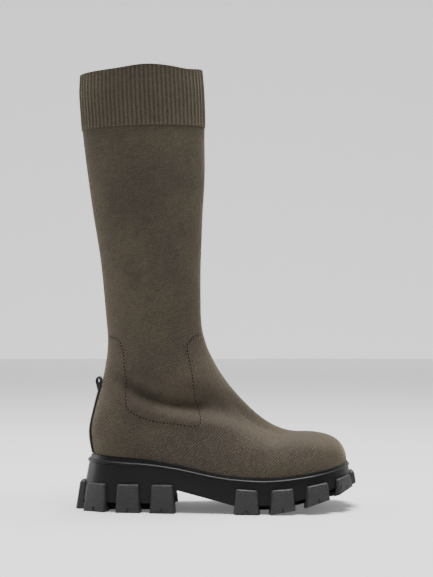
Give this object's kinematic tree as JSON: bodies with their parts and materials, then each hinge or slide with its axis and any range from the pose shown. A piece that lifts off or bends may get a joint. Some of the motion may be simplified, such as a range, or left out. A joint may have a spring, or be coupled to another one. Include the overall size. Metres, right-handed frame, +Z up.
{
  "type": "sweater boot",
  "caption": "Knee-high knitted sock boot with a ribbed cuff, heel pull tape and a chunky black lug sole.",
  "frame": {"origin": "middle of the boot's footprint box, on the ground", "axes": "+X from heel to toe, +Z up, -Y to the outer side of this right foot"},
  "size_m": [0.2776, 0.1094, 0.4375],
  "materials": {
    "knit": "fine heather brown-olive knit with a soft nap",
    "rib_knit": "vertical rib knit in the same yarn",
    "sock_lining": "plain dark woven lining",
    "satin_rubber": "smooth black rubber with a satin gloss",
    "matte_rubber": "black rubber with a fine pebbled grain",
    "woven_tape": "black woven webbing"
  },
  "bodies": {
    "root": {"upper": "knit", "cuff": "rib_knit", "insole": "sock_lining", "midsole": "satin_rubber", "outsole_heel": "matte_rubber", "outsole_forefoot": "matte_rubber", "pull_tape": "woven_tape"}
  },
  "joints": []
}
